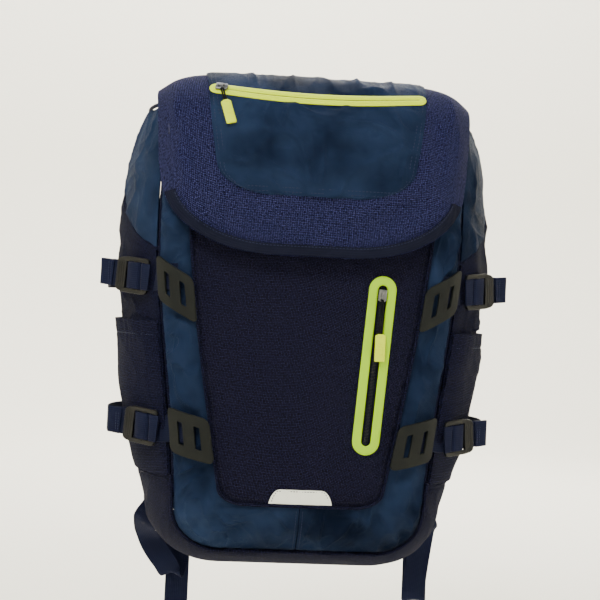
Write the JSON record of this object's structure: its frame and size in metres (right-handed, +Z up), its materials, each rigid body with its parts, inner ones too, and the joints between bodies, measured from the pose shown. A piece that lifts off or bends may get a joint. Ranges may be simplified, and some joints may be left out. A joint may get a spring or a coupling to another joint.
{
  "type": "backpack",
  "caption": "Top-lid day backpack with a zipped lid pocket, a zipped front pocket, side pockets, compression straps and padded shoulder straps, hanging by its haul loop",
  "frame": {"origin": "the inner top of the haul loop, from which the backpack hangs", "axes": "+Z up along the back, +Y from the front pocket to the wearer's back, +X to the right as seen from the front"},
  "size_m": [0.3994, 0.2216, 0.5544],
  "materials": {
    "navy_twill": "coarse woven polyester with a fine rib",
    "navy_fine": "fine dense weave, matt",
    "blue_satin": "smooth coated polyester with a soft sheen",
    "neon_trim": "moulded neon yellow-green film and grips",
    "zip_tape": "black zip tape and nylon coil",
    "zip_metal": "dark painted zinc",
    "black_plastic": "moulded acetal, satin",
    "webbing": "navy polyester webbing",
    "lash_rubber": "olive-grey rubber sheet",
    "reflective": "light grey reflective film",
    "spacer_mesh": "knitted spacer mesh over foam",
    "lining": "light grey lining cloth"
  },
  "bodies": {
    "bag": {"anchor_band_lower_left": "webbing", "anchor_band_lower_right": "webbing", "anchor_band_upper_left": "webbing", "anchor_band_upper_right": "webbing", "back_pad_left": "spacer_mesh", "back_pad_right": "spacer_mesh", "back_panel": "navy_twill", "base_panel": "navy_twill", "base_piping": "navy_twill", "front_panel": "navy_fine", "front_piping": "navy_twill", "front_pocket_lining": "lining", "front_zip_chain": "zip_tape", "front_zip_ring": "neon_trim", "gusset_left": "blue_satin", "gusset_right": "blue_satin", "haul_loop": "webbing", "ladder_lock_lower_left": "black_plastic", "ladder_lock_lower_right": "black_plastic", "ladder_lock_upper_left": "black_plastic", "ladder_lock_upper_right": "black_plastic", "laptop_sleeve": "lining", "lash_tab_lower_left": "lash_rubber", "lash_tab_lower_right": "lash_rubber", "lash_tab_upper_left": "lash_rubber", "lash_tab_upper_right": "lash_rubber", "lid_hinge_strip": "navy_twill", "loop_tape": "zip_tape", "lower_band_left": "webbing", "lower_band_right": "webbing", "lumbar_pad": "spacer_mesh", "mouth_binding": "webbing", "reflective_patch": "reflective", "shoulder_lock_left": "black_plastic", "shoulder_lock_right": "black_plastic", "shoulder_panel_left": "blue_satin", "shoulder_panel_right": "blue_satin", "shoulder_strap_left": "spacer_mesh", "shoulder_strap_right": "spacer_mesh", "side_band_lower_left": "webbing", "side_band_lower_right": "webbing", "side_band_upper_left": "webbing", "side_band_upper_right": "webbing", "side_panel_left": "navy_twill", "side_panel_right": "navy_twill", "side_pocket_left": "navy_twill", "side_pocket_right": "navy_twill"},
    "lid": {"lid_shell": "navy_twill", "lid_panel": "blue_satin", "lid_lining": "lining", "lid_hem": "webbing", "lid_zip_welt": "neon_trim", "lid_zip_chain": "zip_tape", "hook_tape": "zip_tape"},
    "lid_slider": {"lid_zip_slider": "zip_metal"},
    "lid_pull": {"lid_zip_pull": "neon_trim"},
    "front_slider": {"front_zip_slider": "zip_metal"},
    "front_pull": {"front_zip_pull": "neon_trim"}
  },
  "joints": [
    {"name": "lid_hinge", "type": "hinge", "parent": "bag", "child": "lid", "pos_m": [0, -0.0173, -0.014], "axis": [-1, 0, 0], "range_deg": [0, 92]},
    {"name": "lid_zip_run", "type": "hinge", "parent": "lid", "child": "lid_slider", "pos_m": [0, 0.20382, 0.31592], "axis": [0, -0.6672, 0.7449], "range_deg": [0, 20.2]},
    {"name": "lid_pull_swing", "type": "hinge", "parent": "lid_slider", "child": "lid_pull", "pos_m": [-0.09, -0.18232, -0.02638], "axis": [-0.9609, -0.1358, -0.2412], "range_deg": [0, 90]},
    {"name": "front_zip_run", "type": "slide", "parent": "bag", "child": "front_slider", "axis": [-0.0663, 0.0006, -0.9978], "range_m": [0, 0.14]},
    {"name": "front_pull_swing", "type": "hinge", "parent": "front_slider", "child": "front_pull", "pos_m": [0.06692, -0.18831, -0.21593], "axis": [-1, 0, 0], "range_deg": [0, 110]}
  ]
}
